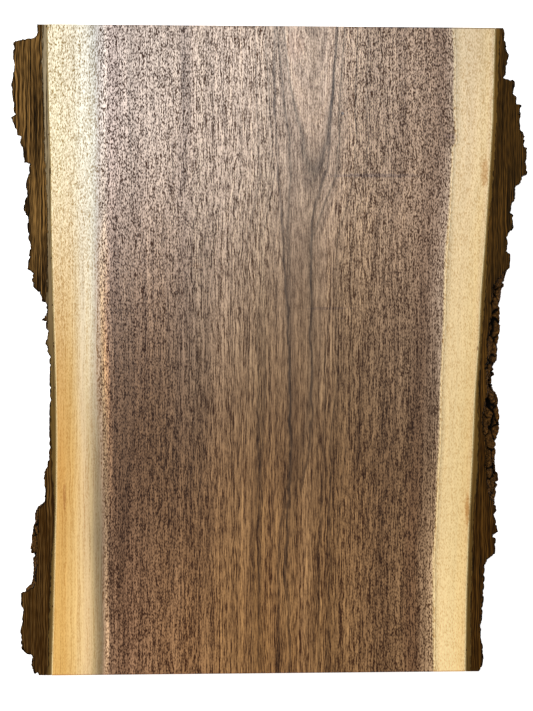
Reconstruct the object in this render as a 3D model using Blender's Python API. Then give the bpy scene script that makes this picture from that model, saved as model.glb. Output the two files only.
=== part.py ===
"""Live-edge walnut slab: a flat-sawn board with a strip of bark still grown on each long side.

The slab lies on its wider face. X runs across the slab, Y along the grain and Z through the
thickness. The origin is on the surface that it lies on, under the middle of the slab.
"""

import math

import bmesh
import bpy
from mathutils import Vector, noise

MM = 0.001

# Driving dimensions
THICKNESS = 32.0 * MM
LOG_RADIUS = 153.0 * MM
PITH_DEPTH = 34.0 * MM
CAMBIUM_GAP = 0.3 * MM
BLANK_LENGTH = 416.0 * MM

# The sawn ends are a little out of square: each line is Y at the left and at the right live edge
FAR_END = (204.1 * MM, 201.9 * MM)
NEAR_END = (-203.2 * MM, -200.7 * MM)

# The wood's edge on the top face, as (Y, X) in millimetres, from the near end to the far end
LEFT_EDGE = (
    (-208, -136.4), (-174, -135.5), (-127, -134.4), (-93, -133.5), (-55, -133.3), (-26, -133.6),
    (3, -134.4), (39, -135.5), (82, -136.5), (116, -136.7), (147, -137.9), (176, -138.6), (208, -139.0),
)
RIGHT_EDGE = (
    (-208, 122.4), (-151, 123.3), (-103, 125.1), (-65, 127.1), (-30, 128.5), (7, 131.1),
    (34, 132.3), (72, 135.2), (118, 138.1), (144, 139.6), (208, 141.4),
)

# The bark's outline on the sawn top face, as (Y, X) in millimetres. It steps where a plate has broken off
LEFT_BARK_TOP = (
    (-208, -139.0), (-203.6, -141.6), (-202.3, -146.0), (-199.7, -148.5), (-192.2, -149.7),
    (-188.5, -152.9), (-185.5, -156.0), (-177.2, -156.0), (-164.7, -155.4), (-161.6, -153.8),
    (-158.5, -156.0), (-151.5, -155.4), (-147.5, -148.0), (-136, -146.6), (-124, -146.8),
    (-112, -145.9), (-98.5, -145.6), (-94.7, -141.9), (-87.2, -140.4), (-76.0, -141.4),
    (-72.2, -140.2), (-64.7, -138.5), (-49.7, -138.4), (-30.9, -137.9), (-8.4, -138.5),
    (0, -139.1), (3.4, -140.3), (7.5, -139.4), (16, -139.8), (18, -142.6),
    (22, -142.2), (24, -140.2), (29.1, -139.9), (32.8, -142.9), (36.6, -146.0),
    (40.3, -147.9), (48.6, -149.1), (50.6, -151.6), (59.1, -150.4), (66.6, -149.7),
    (74.1, -151.0), (84.7, -151.0), (86.4, -153.8), (92.8, -153.5), (104.1, -152.2),
    (116.2, -150.4), (118.0, -154.1), (126.6, -154.7), (130.4, -156.0), (134.7, -158.2),
    (143.5, -159.7), (145.4, -161.6), (147.2, -159.7), (156.6, -160.4), (167.9, -161.6),
    (182.9, -161.0), (193.6, -160.4), (195.6, -146.0), (208, -144.2),
)
RIGHT_BARK_TOP = (
    (-208, 126.9), (-201.6, 129.1), (-199.7, 131.6), (-192.2, 134.1), (-184.7, 133.5),
    (-177.2, 132.2), (-158.5, 133.5), (-136.0, 134.7), (-131.0, 137.2), (-127.9, 141.0),
    (-115.3, 141.6), (-113.5, 142.9), (-106.0, 141.6), (-101.6, 140.7), (-98.5, 142.0),
    (-94.7, 140.0), (-90.0, 137.6), (-81.0, 136.3), (-65.3, 136.9), (-56.0, 136.3),
    (-49.7, 134.4), (-38.4, 134.4), (-30.9, 135.7), (-8.4, 136.3), (3.4, 136.9),
    (12.8, 137.5), (31.6, 139.4), (40.5, 141.2), (46.5, 146.0), (51.6, 150.4),
    (61.0, 151.0), (62.8, 149.1), (73.0, 150.0), (74.7, 152.6), (81.6, 152.4),
    (85.3, 152.9), (89.1, 151.0), (96.6, 153.5), (100.3, 154.1), (104.1, 156.0),
    (107.8, 158.7), (109.7, 161.0), (122.9, 161.0), (127.2, 161.9), (130.4, 160.4),
    (134.1, 159.7), (136.8, 157.2), (153.0, 157.9), (154.7, 155.3), (167.9, 153.5),
    (169.6, 152.2), (171.0, 147.9), (179.1, 148.5), (186.6, 149.1), (194.1, 147.2), (208, 147.2),
)

# Where a ridge of the bark runs below the top face and stands out past it, again as (Y, X)
LEFT_BARK_RIDGE = (
    (-153, -155.5), (-150, -153.5), (-147.2, -151.6), (-136.0, -150.4), (-124.7, -151.0),
    (-109.7, -149.7), (-98.5, -147.2), (-94.7, -142.5), (-90, -141.0), (-83.5, -141.0), (-76, -141.6),
)
RIGHT_BARK_RIDGE = (
    (-103, 141.0), (-98.5, 142.3), (-94.7, 142.9), (-87.2, 144.7), (-79.7, 146.0), (-72.2, 144.7),
    (-61.0, 144.1), (-53.5, 144.7), (-46.0, 146.0), (-38.4, 146.6), (-30.9, 146.6),
    (-27.2, 146.0), (-23.4, 142.5), (-12.2, 144.1), (-8.4, 143.2), (-4.7, 144.7),
    (2.8, 145.4), (17.8, 146.6), (31.6, 145.4), (39.1, 146.8), (41.5, 148.5), (51.6, 150.4),
)
RIDGE_DEPTH = 9.0 * MM
RIDGE_SWELL = 1.2

# Furrows of the bark: two sets of slanting grooves that cross, and leave long diamonds between them
FURROW_PITCH = 14.5 * MM
FURROW_SLANT = math.tan(math.radians(8.0))
FURROW_HALF_WIDTH = 3.0 * MM
FURROW_SHARE = 0.62
FURROW_CLEAR_TOP = 5.0 * MM
FURROW_WANDER = 3.4 * MM
ROUGHNESS = 1.4 * MM
THINNEST_BARK = 1.2 * MM

# Mesh resolution
BARK_STEP = 3.2 * MM
BARK_ROWS = 10
WOOD_ROWS = 2
COPLANAR = math.radians(0.25)
WELD = 0.02 * MM

# Finishes: linear colour, roughness
WOOD_FINISH = ((0.25, 0.14, 0.075), 0.5)
BARK_FINISH = ((0.045, 0.028, 0.014), 0.9)


def clear_scene():
    for old in list(bpy.data.objects):
        bpy.data.objects.remove(old, do_unlink=True)


def along(points, y):
    """The value at y of a line drawn through (Y, value) points in millimetres, in metres."""
    y_mm = y / MM
    if y_mm <= points[0][0]:
        return points[0][1] * MM
    for (y0, x0), (y1, x1) in zip(points, points[1:]):
        if y_mm <= y1:
            return (x0 + (x1 - x0) * (y_mm - y0) / (y1 - y0)) * MM
    return points[-1][1] * MM


def smooth(t):
    t = min(1.0, max(0.0, t))
    return t * t * (3.0 - 2.0 * t)


def log_flare(z):
    """How far the log's round side stands out at height z past where it meets the top face."""
    height = PITH_DEPTH - (THICKNESS - z)
    return math.sqrt(LOG_RADIUS**2 - height**2) - math.sqrt(LOG_RADIUS**2 - PITH_DEPTH**2)


def faceted_flare(z):
    """log_flare, straight between the rows of the wood's side, so that the bark's inner face follows it."""
    row = min(WOOD_ROWS - 1, int(z / THICKNESS * WOOD_ROWS))
    low = THICKNESS * row / WOOD_ROWS
    high = THICKNESS * (row + 1) / WOOD_ROWS
    share = (z - low) / (high - low)
    return log_flare(low) * (1.0 - share) + log_flare(high) * share


def wood_edge(side, y, z):
    """X of the wood's live edge. side is -1 on the left and 1 on the right."""
    points = LEFT_EDGE if side < 0 else RIGHT_EDGE
    return along(points, y) + side * faceted_flare(z)


def furrow_share(side, y, depth):
    """How much of the bark's thickness is missing in its furrows, from 0 to FURROW_SHARE."""
    seed = 7.3 * side
    wander = FURROW_WANDER * noise.noise(Vector((y * 22.0, depth * 40.0, seed)))
    deepest = 0.0
    for slant in (-1.0, 1.0):
        place = (depth + slant * FURROW_SLANT * y + wander) / FURROW_PITCH + 0.17 * side
        off_line = abs(place - round(place)) * FURROW_PITCH
        strength = smooth(0.75 + 1.6 * noise.noise(Vector((y * 14.0, depth * 30.0, seed + 11.0 * slant))))
        deepest = max(deepest, strength * (1.0 - smooth(off_line / (2.0 * FURROW_HALF_WIDTH))))
    return FURROW_SHARE * deepest * smooth(depth / FURROW_CLEAR_TOP)


def bark_surface(side, y, z):
    """X of the bark's outer surface, which stays inside the outline that the slab shows from above."""
    depth = THICKNESS - z
    top, ridge = (LEFT_BARK_TOP, LEFT_BARK_RIDGE) if side < 0 else (RIGHT_BARK_TOP, RIGHT_BARK_RIDGE)
    edge = abs(wood_edge(side, y, THICKNESS))
    reach = abs(along(top, y)) - edge
    if ridge[0][0] * MM < y < ridge[-1][0] * MM:
        beyond = max(0.0, abs(along(ridge, y)) - edge - reach)
        reach += RIDGE_SWELL * beyond * smooth(depth / RIDGE_DEPTH)
    inner = log_flare(z) + THINNEST_BARK
    lumps = 0.5 + 0.5 * noise.fractal(Vector((y * 90.0, z * 110.0, 3.0 * side)), 0.9, 2.0, 2)
    lost = furrow_share(side, y, depth) * max(0.0, reach - inner)
    lost += ROUGHNESS * max(0.0, lumps) * smooth(depth / FURROW_CLEAR_TOP)
    return side * (edge + max(inner, reach - lost))


def bark_stations(side):
    """Y of each column of the bark's mesh: at every corner of its outline, and between them."""
    top = LEFT_BARK_TOP if side < 0 else RIGHT_BARK_TOP
    stations = []
    for (y0, _), (y1, _) in zip(top, top[1:]):
        steps = max(1, math.ceil((y1 - y0) * MM / BARK_STEP))
        stations += [(y0 + (y1 - y0) * i / steps) * MM for i in range(steps)]
    return stations + [top[-1][0] * MM]


def saw_end(bm, line, outward):
    """Cuts a solid off flat along one sawn end, given as Y at the left and at the right live edge."""
    left = Vector((along(LEFT_EDGE, line[0]), line[0], 0.0))
    right = Vector((along(RIGHT_EDGE, line[1]), line[1], 0.0))
    across = (right - left).normalized()
    normal = Vector((-across.y, across.x, 0.0)) * outward
    cut = bmesh.ops.bisect_plane(
        bm, geom=bm.verts[:] + bm.edges[:] + bm.faces[:], dist=WELD,
        plane_co=left, plane_no=normal, clear_outer=True,
    )
    rim = [e for e in cut["geom_cut"] if isinstance(e, bmesh.types.BMEdge)]
    bmesh.ops.contextual_create(bm, geom=rim)


def finish_solid(bm, name, finish, collection):
    bmesh.ops.remove_doubles(bm, verts=bm.verts[:], dist=WELD)
    bmesh.ops.dissolve_limit(
        bm, angle_limit=COPLANAR, use_dissolve_boundaries=False, verts=bm.verts[:], edges=bm.edges[:],
    )
    bmesh.ops.triangulate(bm, faces=bm.faces[:], quad_method="BEAUTY", ngon_method="BEAUTY")
    bmesh.ops.recalc_face_normals(bm, faces=bm.faces[:])
    mesh = bpy.data.meshes.new(name)
    bm.to_mesh(mesh)
    bm.free()
    solid = bpy.data.objects.new(name, mesh)
    collection.objects.link(solid)
    mesh.materials.append(material(name, finish))
    return solid


def material(name, finish):
    colour, roughness = finish
    made = bpy.data.materials.new(name)
    made.use_nodes = True
    shader = made.node_tree.nodes["Principled BSDF"]
    shader.inputs["Base Color"].default_value = (*colour, 1.0)
    shader.inputs["Roughness"].default_value = roughness
    shader.inputs["Metallic"].default_value = 0.0
    return made


def make_wood(collection):
    """The board: a block bisected into stations, with its two long sides moved out to the live edges."""
    bm = bmesh.new()
    bmesh.ops.create_cube(bm, size=1.0)
    half = BLANK_LENGTH / 2
    bmesh.ops.scale(bm, vec=Vector((BLANK_LENGTH, BLANK_LENGTH, THICKNESS)), verts=bm.verts[:])
    bmesh.ops.translate(bm, vec=Vector((0.0, 0.0, THICKNESS / 2)), verts=bm.verts[:])
    corners = {y * MM for y, _ in LEFT_EDGE + RIGHT_EDGE if abs(y * MM) < half}
    cuts = [(Vector((0, y, 0)), Vector((0, 1, 0))) for y in sorted(corners)]
    cuts += [(Vector((0, 0, THICKNESS * i / WOOD_ROWS)), Vector((0, 0, 1))) for i in range(1, WOOD_ROWS)]
    for place, normal in cuts:
        bmesh.ops.bisect_plane(
            bm, geom=bm.verts[:] + bm.edges[:] + bm.faces[:], plane_co=place, plane_no=normal,
        )
    for vert in bm.verts:
        vert.co.x = wood_edge(math.copysign(1, vert.co.x), vert.co.y, vert.co.z)
    saw_end(bm, FAR_END, 1)
    saw_end(bm, NEAR_END, -1)
    return finish_solid(bm, "wood_slab", WOOD_FINISH, collection)


def make_bark(name, side, collection):
    """A strip of bark: a grid laid on the wood's live edge, then extruded out to the bark's own surface."""
    stations = bark_stations(side)
    last = len(stations) - 1
    bm = bmesh.new()
    bmesh.ops.create_grid(bm, x_segments=last, y_segments=BARK_ROWS, size=0.5)
    cells = {}
    for vert in bm.verts:
        column = round((vert.co.x + 0.5) * last)
        row = round((vert.co.y + 0.5) * BARK_ROWS)
        cells[vert] = (stations[column], THICKNESS * row / BARK_ROWS)
    for vert, (y, z) in cells.items():
        vert.co = Vector((wood_edge(side, y, z) + side * CAMBIUM_GAP, y, z))
    outer = bmesh.ops.extrude_face_region(bm, geom=bm.faces[:], use_keep_orig=True)["geom"]
    for vert in (v for v in outer if isinstance(v, bmesh.types.BMVert)):
        vert.co.x = bark_surface(side, vert.co.y, vert.co.z)
    bmesh.ops.recalc_face_normals(bm, faces=bm.faces[:])
    saw_end(bm, FAR_END, 1)
    saw_end(bm, NEAR_END, -1)
    return finish_solid(bm, name, BARK_FINISH, collection)


def centre_on_origin(solids):
    """Moves the meshes so that the middle of the whole slab's box stands over the origin."""
    points = [v.co for solid in solids for v in solid.data.vertices]
    middle = Vector((
        (min(p.x for p in points) + max(p.x for p in points)) / 2,
        (min(p.y for p in points) + max(p.y for p in points)) / 2,
        0.0,
    ))
    for point in points:
        point -= middle
    print("origin moved by, in mm:", [round(c / MM, 2) for c in middle])


def main():
    clear_scene()
    collection = bpy.data.collections.new("walnut_slab")
    bpy.context.scene.collection.children.link(collection)
    solids = [
        make_wood(collection),
        make_bark("bark_left", -1, collection),
        make_bark("bark_right", 1, collection),
    ]
    centre_on_origin(solids)


main()
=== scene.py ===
# %% [markdown]
# # A walnut slab with its bark on
#
# A log was sawn lengthwise into a board, and nothing was trimmed off its two long sides, so each
# still carries the bark of the tree. The top was sanded smooth, through wood and bark alike, and
# the ends were cut across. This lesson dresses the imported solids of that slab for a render: it
# gives the board eased edges, grows rough bark over the two plain strips, and paints both with
# materials that work through the whole thickness, as real wood does.

# %% Load the frame
import math

import bpy
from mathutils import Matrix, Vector, kdtree, noise


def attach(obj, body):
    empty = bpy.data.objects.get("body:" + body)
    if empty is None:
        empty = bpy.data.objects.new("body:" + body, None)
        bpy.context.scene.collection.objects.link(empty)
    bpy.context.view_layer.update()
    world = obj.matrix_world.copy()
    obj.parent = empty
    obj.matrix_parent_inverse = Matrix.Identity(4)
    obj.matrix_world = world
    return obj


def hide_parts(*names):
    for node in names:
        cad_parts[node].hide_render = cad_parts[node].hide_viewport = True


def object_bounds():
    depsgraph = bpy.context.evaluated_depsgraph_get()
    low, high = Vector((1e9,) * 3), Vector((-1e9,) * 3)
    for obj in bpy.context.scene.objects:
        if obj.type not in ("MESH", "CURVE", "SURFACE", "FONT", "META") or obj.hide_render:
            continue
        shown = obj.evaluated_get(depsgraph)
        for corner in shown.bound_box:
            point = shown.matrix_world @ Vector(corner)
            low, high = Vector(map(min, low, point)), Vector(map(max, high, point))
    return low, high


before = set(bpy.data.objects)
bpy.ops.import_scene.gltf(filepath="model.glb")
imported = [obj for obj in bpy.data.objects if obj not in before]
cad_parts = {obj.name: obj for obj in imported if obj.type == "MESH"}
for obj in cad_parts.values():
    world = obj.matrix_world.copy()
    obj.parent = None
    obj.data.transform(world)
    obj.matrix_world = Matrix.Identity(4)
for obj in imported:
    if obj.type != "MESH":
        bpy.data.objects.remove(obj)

cad_low, cad_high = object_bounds()
print("solids span, in mm:", [round(1000 * s, 1) for s in cad_high - cad_low])

# %% [markdown]
# ## Sizes
#
# Everything is in metres, but wood is thought of in millimetres, so the lengths below are numbers
# times MM. The solids were centred on the world's origin after they were made. The outlines here
# were measured before that, so two small shifts bring the one into line with the other.

# %% Sizes of the slab
MM = 0.001
TOP = cad_high.z
SHIFT_X = 0.15 * MM
SHIFT_Y = 0.44 * MM
LOG_RADIUS = 153.0 * MM
PITH_DEPTH = 34.0 * MM
print("the board is", round(TOP / MM, 1), "mm thick")

# %% [markdown]
# The wood's own edge, under the bark, wanders a little as the trunk did. Each table gives points
# (Y, X) in millimetres on the top face, and the edge is straight between them.

# %% Edges of the wood
LEFT_EDGE = (
    (-208, -136.4), (-174, -135.5), (-127, -134.4), (-93, -133.5), (-55, -133.3), (-26, -133.6),
    (3, -134.4), (39, -135.5), (82, -136.5), (116, -136.7), (147, -137.9), (176, -138.6), (208, -139.0),
)
RIGHT_EDGE = (
    (-208, 122.4), (-151, 123.3), (-103, 125.1), (-65, 127.1), (-30, 128.5), (7, 131.1),
    (34, 132.3), (72, 135.2), (118, 138.1), (144, 139.6), (208, 141.4),
)
FAR_END = (204.1 * MM, 201.9 * MM)
NEAR_END = (-203.2 * MM, -200.7 * MM)


def along(points, y):
    """The value at y, in metres, of a line drawn through (Y, value) points in millimetres."""
    y_mm = (y + SHIFT_Y) / MM
    for (y0, x0), (y1, x1) in zip(points, points[1:]):
        if y_mm <= y1:
            share = max(0.0, (y_mm - y0) / (y1 - y0))
            return (x0 + (x1 - x0) * share) * MM - SHIFT_X
    return points[-1][1] * MM - SHIFT_X


def log_flare(z):
    """How far the log's round side stands out at height z past where it meets the top face."""
    height = PITH_DEPTH - (TOP - z)
    return math.sqrt(LOG_RADIUS**2 - height**2) - math.sqrt(LOG_RADIUS**2 - PITH_DEPTH**2)


def wood_edge(side, y, z):
    """X of the wood's live edge. side is -1 on the left and 1 on the right."""
    low = log_flare(0.0 if z < TOP / 2 else TOP / 2)
    high = log_flare(TOP / 2 if z < TOP / 2 else TOP)
    share = (z % (TOP / 2)) / (TOP / 2) if z < TOP else 1.0
    return along(LEFT_EDGE if side < 0 else RIGHT_EDGE, y) + side * (low + (high - low) * share)


print("wood on the top face, in mm:", round((wood_edge(1, 0, TOP) - wood_edge(-1, 0, TOP)) / MM, 1), "wide")

# %% [markdown]
# ## Camera
#
# The slab is seen from straight above. A long lens from a metre away keeps its sides out of sight,
# so that only the sanded face and the outline of the bark show. The picture's height in the plane of
# the top face sets the focal length: sensor height over picture height equals focal length over
# distance.

# %% Camera
PICTURE_HEIGHT = 444.5 * MM
CAMERA_DISTANCE = 1.0
LOOK_AT = Vector((-1.876 * MM - SHIFT_X, -3.126 * MM - SHIFT_Y, TOP))
SENSOR = 36.0

camera_data = bpy.data.cameras.new("overhead")
camera_data.sensor_width = SENSOR
camera_data.lens = SENSOR * CAMERA_DISTANCE / PICTURE_HEIGHT
camera = bpy.data.objects.new("overhead", camera_data)
camera.location = LOOK_AT + Vector((0, 0, CAMERA_DISTANCE))
bpy.context.scene.collection.objects.link(camera)
bpy.context.scene.camera = camera
print("focal length, in mm:", round(camera_data.lens, 1))

# %% [markdown]
# ## Working as by hand
#
# Blender's operators act on what is selected, so each step first makes one piece the only selected
# and active one. The second helper selects faces or edges in edit mode by asking a question of each.

# %% Helpers for selecting
def only(piece):
    if bpy.context.mode != "OBJECT":
        bpy.ops.object.mode_set(mode="OBJECT")
    bpy.ops.object.select_all(action="DESELECT")
    piece.select_set(True)
    bpy.context.view_layer.objects.active = piece


def edit(piece, mode="VERT"):
    only(piece)
    bpy.ops.object.mode_set(mode="EDIT")
    bpy.ops.mesh.select_mode(type=mode)
    bpy.ops.mesh.select_all(action="SELECT")


def finish_modifier(piece, kind, **settings):
    """Adds a modifier, sets it and applies it at once."""
    only(piece)
    modifier = piece.modifiers.new(kind.title(), kind)
    for key, value in settings.items():
        setattr(modifier, key, value)
    bpy.ops.object.modifier_apply(modifier=modifier.name)


# %% [markdown]
# ## The board
#
# The real board has two broad flat faces, two sawn ends and two sides that follow the log. It could
# be copied from the solid, but a copy has the solid's knife-sharp edges. Here a cube is bisected into
# stations, its sides are moved out to the live edge, its ends are cut off along the saw's line, and
# then its long edges are eased with a small bevel, as sandpaper does.

# %% The board
EASED_EDGE = 0.35 * MM
SHARP_ANGLE = math.radians(40)
BLANK_WIDTH = 280.0 * MM
BLANK_LENGTH = 414.0 * MM


def cut_across(line, outward):
    """Cuts the selected mesh off along one sawn end, given as Y at the left and at the right edge."""
    left = Vector((along(LEFT_EDGE, line[0] - SHIFT_Y), line[0] - SHIFT_Y, 0))
    right = Vector((along(RIGHT_EDGE, line[1] - SHIFT_Y), line[1] - SHIFT_Y, 0))
    across = (right - left).normalized()
    normal = Vector((-across.y, across.x, 0)) * outward
    bpy.ops.mesh.select_all(action="SELECT")
    bpy.ops.mesh.bisect(plane_co=left, plane_no=normal, use_fill=True, clear_outer=True)
    return left, normal


bpy.ops.object.select_all(action="DESELECT")
bpy.ops.mesh.primitive_cube_add(size=1, location=(0, 0, TOP / 2), scale=(BLANK_WIDTH, BLANK_LENGTH, TOP))
board = bpy.context.active_object
board.name = board.data.name = "sanded_board"
bpy.ops.object.transform_apply(location=True, rotation=True, scale=True)
edit(board)
for y_mm in sorted({y for y, _ in LEFT_EDGE[1:-1] + RIGHT_EDGE[1:-1]}):
    bpy.ops.mesh.select_all(action="SELECT")
    bpy.ops.mesh.bisect(plane_co=(0, y_mm * MM - SHIFT_Y, 0), plane_no=(0, 1, 0))
bpy.ops.mesh.select_all(action="SELECT")
bpy.ops.mesh.bisect(plane_co=(0, 0, TOP / 2), plane_no=(0, 0, 1))
bpy.ops.object.mode_set(mode="OBJECT")
for vertex in board.data.vertices:
    side = 1 if vertex.co.x > 0 else -1
    vertex.co.x = wood_edge(side, vertex.co.y, vertex.co.z)
edit(board)
END_PLANES = [cut_across(FAR_END, 1), cut_across(NEAR_END, -1)]
bpy.ops.object.mode_set(mode="OBJECT")
finish_modifier(
    board, "BEVEL", width=EASED_EDGE, segments=2, limit_method="ANGLE", angle_limit=SHARP_ANGLE,
)
print("board:", len(board.data.polygons), "faces")

# %% [markdown]
# ## The bark
#
# Bark is too irregular to build from a few extrusions. It starts as a copy of its solid, which has
# the outline and the large ridges right. A voxel remesh gives it an even net of small faces, and each
# point of its weathered side is then moved as a sculptor would: in along the cracks between plates,
# and in and out along the fibres. Points of the sawn faces only move within their own plane, so
# the sawn faces stay dead flat while their outline turns ragged.

# %% Bark sizes
VOXEL = 0.75 * MM
SNAP = 0.45 * MM
CAMBIUM_GAP = 0.3 * MM
PLATE = Vector((6.5 * MM, 11.0 * MM, 6.5 * MM))
CRACK_DEPTH = 2.6 * MM
CRACK_WIDTH = 0.16
CRACK_BEND = 0.25
BEND_SIZE = 6 * MM
FIBRE = Vector((1.3 * MM, 14.0 * MM, 1.3 * MM))
FIBRE_DEPTH = 0.7 * MM
CRUMB = 1.9 * MM
CRUMB_DEPTH = 0.9 * MM
RESTING_DEPTH = 0.9 * MM
THINNEST = 1.2 * MM
CALM_RIM = 0.35
CALM_REACH = 4.0 * MM
RIM_REACH = 3.5 * MM
print("one plate of bark, in mm:", [round(s / MM) for s in PLATE])

# %% [markdown]
# The outline seen from above is given as points (Y, X) in millimetres. It is ragged, with square
# steps, because whole plates have broken off.

# %% Outlines of the bark
LEFT_OUTLINE = (
    (-208, -144.8), (-203.2, -144.8), (-201.9, -147.9), (-197.6, -148.5), (-196.3, -149.7),
    (-191.3, -149.2), (-188.2, -154.1), (-186.3, -155.4), (-176.3, -156), (-162.6, -154.1),
    (-160.7, -154.9), (-160.1, -156), (-151.3, -155.4), (-148.2, -151.6), (-145, -150.5),
    (-142.5, -151.1), (-129.4, -149.7), (-126.9, -151), (-118.2, -150.4), (-116.3, -151),
    (-107.5, -148.5), (-100, -148.5), (-95.7, -143.5), (-95, -141.7), (-88.2, -140.4), (-78.1, -141.6),
    (-68.1, -138.6), (-62.5, -138), (-2.5, -138.5), (-0.6, -139.7), (1.3, -139.2), (3.8, -140.4),
    (10.6, -139.1), (16.9, -140.5), (18.1, -139.8), (18.8, -142.9), (23.1, -140.5), (30, -139.9),
    (30.6, -142.9), (33.8, -142.9), (39.4, -147.9), (42.5, -148), (43.8, -149.1), (48.1, -148.5),
    (50, -149.9), (50.6, -151.6), (66.3, -149.7), (70, -151), (79.4, -151.6), (83.8, -151),
    (85, -153.5), (90, -154.1), (94.4, -152.9), (103.2, -152.9), (111.9, -150.4), (116.9, -150.4),
    (117.5, -153.9), (126.3, -154.2), (129.4, -156), (133.8, -156), (134.4, -157.9), (136.3, -157.9),
    (139.4, -159.7), (143.2, -161.6), (146.3, -161.6), (147.5, -159.8), (166.3, -161.8),
    (170.7, -160.5), (193.8, -160.4), (195.1, -158.5), (195.7, -151.6), (196.9, -146.1), (208, -144.6),
)
RIGHT_OUTLINE = (
    (-208, 131), (-200.7, 131), (-198.2, 132.9), (-192.6, 134.1), (-189.4, 133.5), (-186.3, 134.1),
    (-180.1, 132.3), (-176.3, 132.2), (-156.3, 134.1), (-134.4, 134.8), (-131.3, 136.6), (-127.5, 141),
    (-117.5, 141.6), (-115.7, 140.4), (-113.2, 142.9), (-107.5, 142.2), (-102.5, 140.4),
    (-100.7, 142.2), (-98.2, 141.7), (-94.4, 143.5), (-90, 144.7), (-88.2, 144.2), (-82.5, 146),
    (-78.8, 146), (-75.6, 144.2), (-58.1, 144.1), (-46.9, 146), (-31.3, 146.6), (-26.3, 145.4),
    (-23.1, 142.2), (-18.8, 142.3), (-15, 143.5), (-9.4, 142.9), (-6.3, 144.7), (-3.1, 145.4),
    (3.8, 144.7), (7.5, 146), (17.5, 146.6), (24.4, 145.4), (26.9, 146), (28.8, 144.8), (31.3, 146.1),
    (35, 146.6), (39.4, 146.6), (40.6, 148.5), (45.6, 148.6), (51.9, 150.4), (60, 151), (62.5, 149.1),
    (68.8, 149.1), (71.9, 149.8), (76.9, 152.9), (80.7, 152.2), (85, 152.9), (86.3, 151), (91.9, 151.6),
    (93.2, 153.5), (102.5, 154.1), (105, 157.9), (108.8, 158.5), (109.4, 160.6), (111.9, 161.6),
    (118.2, 161), (126.9, 161.6), (127.5, 159.8), (134.4, 159.7), (136.9, 158.6), (137.5, 157.2),
    (142.5, 156.7), (153.8, 157.9), (154.4, 155.4), (158.8, 154.7), (160.1, 153.5), (168.2, 153.5),
    (169.4, 152.4), (170.7, 147.9), (177.6, 147.9), (179.4, 149.1), (185.7, 149.8), (186.3, 148.6),
    (191.9, 148.5), (193.8, 147.2), (208, 147.2),
)
print("points of the two outlines:", len(LEFT_OUTLINE), "and", len(RIGHT_OUTLINE))

# %% [markdown]
# Cells of a Voronoi pattern break a surface up as drying bark does. A crack runs where a point's
# nearest and next nearest cells are equally far, and noise bends it. Close to the sawn top the relief
# is calmer, so that the rim doesn't fray.

# %% Cracks, fibres and crumbs
def scaled(place, size):
    return Vector((place.x / size.x, place.y / size.y, place.z / size.z))


def crack_at(place):
    """1 in the middle of a crack between two plates of bark, and 0 on a plate."""
    bend = noise.noise_vector(place / BEND_SIZE) * CRACK_BEND
    near, next_near = noise.voronoi(scaled(place, PLATE) + bend, distance_metric="DISTANCE")[0][:2]
    return max(0.0, 1.0 - (next_near - near) / CRACK_WIDTH)


def skin_depth(place, crack):
    """How far a point of the weathered bark moves in from the solid's surface."""
    fibres = 1.0 - abs(noise.noise(scaled(place, FIBRE)))
    crumbs = noise.fractal(place / CRUMB, 0.8, 2.0, 3)
    depth = CRACK_DEPTH * crack**1.5 + FIBRE_DEPTH * fibres + CRUMB_DEPTH * (0.5 + 0.5 * crumbs)
    calm = min(1.0, CALM_RIM + (1.0 - CALM_RIM) * (TOP - place.z) / CALM_REACH)
    return (depth - RESTING_DEPTH) * calm


print("deepest crack, in mm:", round((CRACK_DEPTH + FIBRE_DEPTH + CRUMB_DEPTH - RESTING_DEPTH) / MM, 1))

# %% [markdown]
# The saw went through bark and wood alike, so four faces of each strip are flat: its top, its
# underside and its two ends. A point that lies within SNAP of such a plane belongs to that face.

# %% Which faces of the bark are sawn
def sawn_plane(place):
    """Name of the sawn face that a point of bark lies on, or None."""
    if abs(place.z - TOP) < SNAP:
        return "top"
    if abs(place.z) < SNAP:
        return "bottom"
    for name, (point, normal) in zip(("far", "near"), END_PLANES):
        if abs((place - point).dot(normal)) < SNAP:
            return name
    return None


def flatten(place, plane):
    """Puts a point exactly into the plane of its sawn face."""
    if plane == "top":
        place.z = TOP
    elif plane == "bottom":
        place.z = 0.0
    else:
        point, normal = END_PLANES[("far", "near").index(plane)]
        place -= normal * (place - point).dot(normal)


# %% [markdown]
# The solid's outline is smooth, and the real one has steps. The bark is stretched sideways, station
# by station, until its outermost point reaches the measured outline.

# %% Fit the ragged outline
def live_edge(side, place):
    return wood_edge(side, place.y, min(TOP, max(0.0, place.z)))


def fit_outline(mesh, side):
    outline = LEFT_OUTLINE if side < 0 else RIGHT_OUTLINE
    reach = {}
    for vertex in mesh.vertices:
        station = round(vertex.co.y / MM)
        reach[station] = max(reach.get(station, 0.0), side * vertex.co.x)
    for vertex in mesh.vertices:
        place = vertex.co
        edge = side * live_edge(side, place)
        y_mm = place.y / MM
        below = math.floor(y_mm)
        far_here = reach.get(below, reach[round(y_mm)])
        far_next = reach.get(below + 1, far_here)
        far = far_here + (far_next - far_here) * (y_mm - below)
        stretch = (side * along(outline, place.y) - edge) / (far - edge)
        if side * place.x > edge + CAMBIUM_GAP + SNAP:
            place.x = side * (edge + (side * place.x - edge) * stretch)


# %% [markdown]
# Each point of the bark is of one of three kinds. Inner points touch the wood and stay on its live
# edge. Sawn points stay in their plane. All others are weathered, and move in from the surface. A sawn
# point near the rim follows its nearest weathered neighbour, less so the farther off it is, so that no
# step opens between the two.

# %% Kinds of points, and how far each moves
def sort_points(mesh, side):
    """The points that touch the wood, and the sawn face of each point that lies on one."""
    inner, planes = set(), {}
    for vertex in mesh.vertices:
        if side * vertex.co.x < side * live_edge(side, vertex.co) + CAMBIUM_GAP + SNAP:
            inner.add(vertex.index)
        plane = sawn_plane(vertex.co)
        if plane:
            planes[vertex.index] = plane
    return inner, planes


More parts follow.
